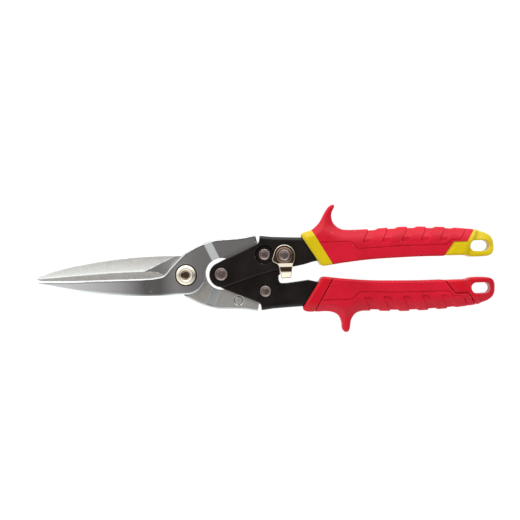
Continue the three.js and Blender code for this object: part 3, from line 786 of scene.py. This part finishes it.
def build_spring():
    """A round wire swept along its line, with blunt rounded ends."""
    line = spring_line()
    tangent = np.gradient(line, axis=0)
    tangent /= np.linalg.norm(tangent, axis=1, keepdims=True)
    side = np.cross(tangent, (0, 0, 1))
    side /= np.linalg.norm(side, axis=1, keepdims=True)
    over = np.cross(side, tangent)
    last = len(line) - 1
    caps = [(0, 0.0, -0.25), (0, 0.75, -0.2)]  # point of the line, share of the radius, way along the wire
    rings = caps + [(k, 1.0, 0.0) for k in range(last + 1)] + [(last, r, -s) for _, r, s in caps[::-1]]
    sides = 16
    vertices = []
    for k, share, shift in rings:
        middle = line[k] + tangent[k] * shift + (0, 0, MID)
        for a in np.linspace(0, 2 * math.pi, sides, endpoint=False):
            vertices.append(middle + share * WIRE * (math.cos(a) * side[k] + math.sin(a) * over[k]))
    faces = []
    for i in range(len(rings) - 1):
        for j in range(sides):
            m = (j + 1) % sides
            faces.append((i * sides + j, i * sides + m, (i + 1) * sides + m, (i + 1) * sides + j))
    mesh = bpy.data.meshes.new("torsion_spring")
    mesh.from_pydata((np.array(vertices) * MM).tolist(), [], faces)
    mesh.validate()
    mesh.shade_smooth()
    mesh.materials.append(SPRING_STEEL)
    spring = bpy.data.objects.new("torsion_spring", mesh)
    bpy.context.scene.collection.objects.link(spring)
    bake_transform(spring)
    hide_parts("return_spring")


# ---- latch ----
def build_latch():
    """A strip of sheet with two steps down, turning on its rivet, and its shoulder washer."""
    seat = level("latch_washer", 1) - MID + 0.3
    low = level("latch_washer", 0) - MID
    foot = level("latch", 0) - MID
    half = 0.5
    plan = outline(
        arc(LATCH_PIVOT, 7.3, -4, 152, steps=90), [(60.1, 9.2), (60.3, 8.5)],
        curve([(60.9, 7.6), (63, 6.4), (64.4, 5), (64.9, 3.4), (65.6, 0.4), (66.5, -3.9)]),
        [(72.9, -3.6), (74.1, 4)], curve([(74.6, 6), (75.6, 8.6)]),
    )
    strip = np.vstack([curve([
        (20, seat + half), (7.6, seat + half), (6.9, seat + half - 0.12), (5.6, (seat + low) / 2 + half),
        (4.4, low + half + 0.12), (3.7, low + half), (0.8, low + half),
    ]), [(0.2, low + half - 0.12), (-4.2, foot + half)]])

    def latch(x, y, h):
        radius = from_axis(x, y, LATCH_PIVOT)
        crown = 0.12 * (1 - smooth_step(4.6, 5.8, radius)) * smooth_step(6.6, 8, y)
        sheet = distance_to_lines(y, h - crown, strip) - half
        return np.maximum(round_max(distance_to_outline(x, y, plan), sheet, 0.4), RIVET_HOLE - radius)

    build("latch_lever_plate", "latch", latch, "latch_lever", NICKEL, cell=0.2, sharp=60)
    ring = washer("latch_washer", LATCH_PIVOT, RIVET_HOLE)
    build("latch_washer_ring", "latch_washer", ring, "upper_handle", SPRING_STEEL,
          cell=0.2)
    top = level("latch_rivet", 1) - MID
    bottom = level("latch_rivet", 0) - MID
    pin = lathe(LATCH_PIVOT, [
        (0, bottom), (3.2, bottom), (3.4, bottom + 0.2), (3.4, bottom + 1.2), (SHANK, bottom + 1.2),
        (SHANK, top - 1.2), (3.9, top - 1.2), (4.0, top - 1.1), (4.0, top - 0.55), (3.8, top - 0.18),
        (3.5, top), (3.25, top - 0.03), (2.9, top - 0.3), (2.5, top - 0.34), (2.1, top - 0.2),
        (0, top - 0.12),
    ])
    build("latch_rivet_headed", "latch_rivet", pin, "upper_handle", RIVET_STEEL, cell=0.16)


# ---- grips: both are drawn as the upper one ----
GAP = 0.3  # round the tail of a frame
SLEEVE_GAP = 0.15
UPPER_SEAM = 0.12  # between the hard shell and the soft cover
LOWER_SEAM = 0.55
GRIP_HALF = 10.5
LOOP_HALF = 7.5
STOP_HALF = 7.0
SLEEVE_HALF = 7.9
SLEEVE_MIDDLE = (142.7, 18.15)
SLEEVE_REACH = (52.7, 6.35)  # to each side of its middle
SLEEVE_ROUNDING = 2.6
SHOULDER = 6.8
COLLAR_CHAMFER = 1.9
PANEL_LIP = 0.4
HOLE_ROUNDING = 0.9
COLLAR_FRONT = [(93.8, 4.6), (80.6, 25.1)]
COLLAR_LINE = [(88.0, 29.1), (102.2, 4.9)]  # between the collar and the cover
COLLAR_TOP = [(80.6, 25.1), (80.9, 26.5), (82, 27.4), (84.7, 28.1)]
BACK = [
    (127, 28.8), (150, 29.8), (168, 29.5), (183, 28.7), (200.9, 26.8), (205.5, 25.5), (209.7, 24.0),
    (212.8, 21.8), (214.4, 19), (214.9, 15.4),
]
INNER_SIDE = [
    (214.3, 11.9), (212.5, 9.3), (209.1, 8.0), (203, 7.7), (198.4, 7.8), (196, 8.1), (193.5, 8.6),
    (187, 8.6), (180.5, 8.7), (164, 8.8), (146.5, 8.4), (127.5, 7.6), (109.5, 5.8), (102.3, 4.8), (96, 4.0),
]
# The hand stop that stands out of the back: its front side up to the tip, and its rear side down.
HORN_FRONT = [(88.6, 29.6), (91, 31.5), (94, 34.7), (97, 40), (100, 44.6), (102.4, 46.4)]
HORN_REAR = [
    (104.1, 46.2), (104.2, 44.6), (102.6, 41.4), (102.1, 37.8), (103.6, 33.3), (107.6, 29.8), (113, 28.6),
]
SPUR_FRONT = [(90, 28.2), (96.5, 28.1), (101.5, 29), (105.4, 31.6), (107.2, 36), (107.7, 41), (109.2, 43)]
SPUR_REAR = [(111.6, 42.6), (112.9, 39.6), (113.9, 34.6), (116.8, 30.5), (121, 28.8)]
# Outlines of the tail and of the thinner hang loop; they run well outside the grip on their far sides.
TAIL_LINE = np.array([
    (179.0, -9), (179.0, 8.7), (186.2, 18.5), (195.4, 18.5), (200.9, 27.0), (200.9, 50), (240, 50),
    (240, -9),
])
LOOP_LINE = np.array([
    (193.3, -9), (193.3, 9.0), (196.6, 15.4), (202.6, 26.4), (202.6, 50), (240, 50), (240, -9),
])
TAIL_PANEL = np.array([(182.8, 10.3), (187.9, 16.7), (195.7, 16.7), (192.2, 10.3)])
PANEL_LINE = [
    (93.5, 20.2), (114.7, 20.2), (120.1, 15.2), (133.9, 15.8), (148.7, 16.5), (181.3, 16.6), (185.3, 20.0),
    (191.2, 20.1),
]
END_GROOVE = [(191.2, 20.1), (195.8, 27.9), (198, 31.7)]
HANG_HOLE = ((201.6, 15.3), (207.5, 15.3))  # middles of its two round ends
HANG_HOLE_R = 3.8
SLOT_DEPTHS = (1.0, 1.0, 1.0, 1.0, 0.8)
FIRST_SLOT = 125.4
SLOT_PITCH = 13.33
FRAME_POCKET = outline([
    (70, 2.4), (80, 4.4), (91.7, 7.2), (98.2, TAIL_LOW - GAP), (TAIL_END + GAP, TAIL_LOW - GAP),
    (TAIL_END + GAP, TAIL_HIGH + GAP), (96, TAIL_HIGH + 2 * GAP), (82, 24.1 + 2 * GAP), (70, 24.6 + 2 * GAP),
])


def groove(distance, width, depth):
    """Depth of a groove with sloping sides along a line."""
    return depth * (1 - smooth_step(0.2 * width, 0.5 * width, distance))


def sleeve(x, y, h, spare):
    """The tube of hard plastic under the cover, larger by spare all round."""
    along, across = (np.abs(v - m) - r for v, m, r in zip((x, y), SLEEVE_MIDDLE, SLEEVE_REACH))
    tube = round_max(across, np.abs(h) - SLEEVE_HALF, SLEEVE_ROUNDING) - spare
    return np.maximum(tube, along - spare)


def grip_shape(stop_front, stop_rear, cheek_width):
    """The outside of a whole grip: flat faces, slanting shoulders on its back, and a thinner hang loop."""
    ahead = curve([*COLLAR_TOP, *stop_front])
    behind = curve([stop_front[-1], *stop_rear, *BACK])
    plan = outline(COLLAR_FRONT, ahead, behind, curve([BACK[-1], *INNER_SIDE]))

    def field(x, y, h):
        side = distance_to_outline(x, y, plan)
        half = GRIP_HALF - 0.5 * (1 - smooth_step(88, 112, x)) - 0.5 * smooth_step(160, 200, x)
        loop = 1 - smooth_step(-2.5, 0.3, distance_to_outline(x, y, LOOP_LINE))
        half = half - (half - LOOP_HALF) * loop
        half = half - (half - STOP_HALF) * smooth_step(24, 40, y)
        top = np.abs(h) - half
        narrow = 1 - 0.75 * smooth_step(29, 41, y)
        shoulder = 0.5 * (SHOULDER * narrow - distance_to_lines(x, y, behind)) + 0.866 * top
        cheek = 0.6 * (cheek_width * narrow - distance_to_lines(x, y, ahead)) + 0.8 * top
        return round_max(round_max(round_max(side, top, 1.7), shoulder, 1.3), cheek, 1.0)

    return field


UPPER_SHAPE = grip_shape(HORN_FRONT, HORN_REAR, 3.4)
LOWER_SHAPE = grip_shape(SPUR_FRONT, SPUR_REAR, 5.0)


def slots(x, y):
    """Depth of the five slanting finger slots across the back of the grip."""
    total = 0
    for i, depth in enumerate(SLOT_DEPTHS):
        along = x - FIRST_SLOT - SLOT_PITCH * i
        front = -2.1 - (along - 0.51 * (y - 20.5))
        rear = (along - 0.61 * (y - 20.5)) - 3.4
        end = 18.9 + 0.06 * i - y
        corner = 0.7 * (np.maximum(front, rear) + end) + 0.7
        edge = common(0.89 * front, 0.85 * rear, end, corner)
        total = total + depth * (1 - smooth_step(-0.33, 0.33, edge))
    return total


def grip_core(shape, outer_of_frame, seam):
    """The hard shell: the collar in front, the tail with its hang hole, and the sleeve between them."""

    def field(x, y, h):
        body = shape(x, y, h)
        behind_collar = right_of(x, y, *COLLAR_LINE)
        front = right_of(x, y, *COLLAR_FRONT)
        chamfer = (np.abs(h) - GRIP_HALF + COLLAR_CHAMFER - np.abs(front)) / math.sqrt(2)
        collar = np.maximum(round_max(body, seam / 2 - behind_collar, seam), chamfer)
        panel = distance_to_outline(x, y, TAIL_PANEL)
        lip = PANEL_LIP * smooth_step(0, 0.5, panel) * (x < 197) * (y < 18.4)
        tail = round_max(body + lip, distance_to_outline(x, y, TAIL_LINE) + seam / 2, seam)
        hole = distance_to_lines(x, y, HANG_HOLE) - HANG_HOLE_R
        tail = round_max(tail, -hole, HOLE_ROUNDING)
        pocket = np.maximum(distance_to_outline(x, y, FRAME_POCKET), np.abs(h) - outer_of_frame - GAP)
        return np.maximum(joined(collar, tail, sleeve(x, y, h, 0)), -pocket)

    return field


def grip_cover(shape, seam):
    """The soft cover over the sleeve, with its panel grooves and finger slots."""

    def field(x, y, h):
        panel = groove(distance_to_lines(x, y, PANEL_LINE), 1.1, 0.55)
        end = groove(distance_to_lines(x, y, END_GROOVE), 1.0, 0.5)
        body = shape(x, y, h) + np.maximum(panel, end) + slots(x, y)
        behind_collar = right_of(x, y, *COLLAR_LINE)
        tail = distance_to_outline(x, y, TAIL_LINE)
        cover = round_max(round_max(body, behind_collar + seam / 2, seam), seam / 2 - tail, seam)
        return np.maximum(cover, -sleeve(x, y, h, SLEEVE_GAP))

    return field


def build_grips():
    upper_core = grip_core(UPPER_SHAPE, UPPER_OUTER, UPPER_SEAM)
    upper_cover = grip_cover(UPPER_SHAPE, UPPER_SEAM)
    lower_core = lower_side(grip_core(LOWER_SHAPE, LOWER_OUTER, LOWER_SEAM))
    lower_cover = lower_side(grip_cover(LOWER_SHAPE, LOWER_SEAM))
    for name, node, field, body, slot, material in (
        ("upper_grip_shell", "upper_grip_core", upper_core, "upper_handle", "yellow_plastic",
         YELLOW_PLASTIC),
        ("upper_grip_skin", "upper_grip_cover", upper_cover, "upper_handle", "red_rubber", RED_RUBBER),
        ("lower_grip_shell", "lower_grip_core", lower_core, "lower_handle", "red_plastic", RED_PLASTIC),
        ("lower_grip_skin", "lower_grip_cover", lower_cover, "lower_handle", "red_rubber", RED_RUBBER),
    ):
        build(name, node, field, body, material, cell=0.41)


# ---- studio ----
def area_light(name, at, aim, size, power):
    data = bpy.data.lights.new(name, "AREA")
    data.shape = "RECTANGLE"
    data.size, data.size_y = size
    data.energy = power
    light = bpy.data.objects.new(name, data)
    light.location = at
    light.rotation_euler = (Vector(aim) - Vector(at)).to_track_quat("-Z", "Y").to_euler()
    bpy.context.scene.collection.objects.link(light)


def sweep():
    """A plain pale floor that stays white round the tool."""
    floor = bpy.data.objects.new("floor", bpy.data.meshes.new("floor"))
    reach = 6.0
    low = -0.05 * MM
    corners = [(-reach, -reach, low), (reach, -reach, low), (reach, reach, low), (-reach, reach, low)]
    floor.data.from_pydata(corners, [], [(0, 1, 2, 3)])
    white = bpy.data.materials.new("white_sweep")
    white.use_nodes = True
    shader = white.node_tree.nodes["Principled BSDF"]
    for socket, value in (
        ("Base Color", (0.08, 0.08, 0.08, 1)), ("Roughness", 0.9), ("Specular IOR Level", 0.1),
        ("Emission Color", (1, 1, 1, 1)), ("Emission Strength", 1.0),
    ):
        shader.inputs[socket].default_value = value
    floor.data.materials.append(white)
    bpy.context.scene.collection.objects.link(floor)


OPENING_EDGES = (0.89, 0.985)  # the tent darkens towards the camera between these heights of a direction
OPENING_SHADES = (0.46, 0.03)
BACK_LIGHT = 1.4
FRONT_LIGHT = 0.75
LEFT_LIGHT = 0.28
DARKEST = 0.03


def sky():
    """A tent of white cloth: dark where the camera looks through it, brightest behind and on the left."""
    world = bpy.data.worlds.new("studio")
    world.use_nodes = True
    bpy.context.scene.world = world
    nodes, links = world.node_tree.nodes, world.node_tree.links
    split = nodes.new("ShaderNodeSeparateXYZ")
    links.new(nodes.new("ShaderNodeTexCoord").outputs["Generated"], split.inputs[0])

    def math_node(operation, a, b=0.0):
        node = nodes.new("ShaderNodeMath")
        node.operation = operation
        for value, socket in zip((a, b), node.inputs):
            if isinstance(value, bpy.types.NodeSocket):
                links.new(value, socket)
            else:
                socket.default_value = value
        return node.outputs[0]

    opening = nodes.new("ShaderNodeMapRange")
    opening.interpolation_type = "SMOOTHSTEP"
    for socket, value in zip(opening.inputs[1:5], OPENING_EDGES + OPENING_SHADES):
        socket.default_value = value
    links.new(split.outputs["Z"], opening.inputs[0])
    warm = nodes.new("ShaderNodeMix")
    warm.data_type = "RGBA"
    warm.inputs[6].default_value = (1, 0.62, 0.5, 1)
    warm.inputs[7].default_value = (1, 1, 1, 1)
    links.new(math_node("MULTIPLY", opening.outputs[0], 2.2), warm.inputs[0])
    back = math_node("MULTIPLY", math_node("MAXIMUM", split.outputs["Y"]), BACK_LIGHT)
    ahead = math_node("MULTIPLY", split.outputs["Y"], -1.0)
    front = math_node("MULTIPLY", math_node("MAXIMUM", ahead), FRONT_LIGHT)
    side = math_node("MULTIPLY", split.outputs["X"], -LEFT_LIGHT)
    total = math_node("ADD", math_node("ADD", back, front), math_node("ADD", side, opening.outputs[0]))
    links.new(warm.outputs[2], nodes["Background"].inputs["Color"])
    links.new(math_node("MAXIMUM", total, DARKEST), nodes["Background"].inputs["Strength"])


def studio():
    middle = (51.7 * MM, 9.2 * MM, 0)
    sweep()
    sky()
    area_light("softbox_back", (0.05, 1.0, 0.65), middle, (1.6, 0.45), 5)
    data = bpy.data.cameras.new("camera")
    camera = bpy.data.objects.new("camera", data)
    distance = 0.8
    view = 364 * MM  # width of the picture at the shear plane
    data.lens = data.sensor_width * distance / view
    camera.location = (middle[0], middle[1], distance + MID * MM)
    camera.rotation_euler = (0, 0, math.radians(-1.5))
    bpy.context.scene.collection.objects.link(camera)
    bpy.context.scene.camera = camera
    bpy.context.scene.view_settings.view_transform = "Standard"


studio()
build_blades()
build_main_pivot()
build_frames()
build_pivots()
build_spring()
build_latch()
build_grips()
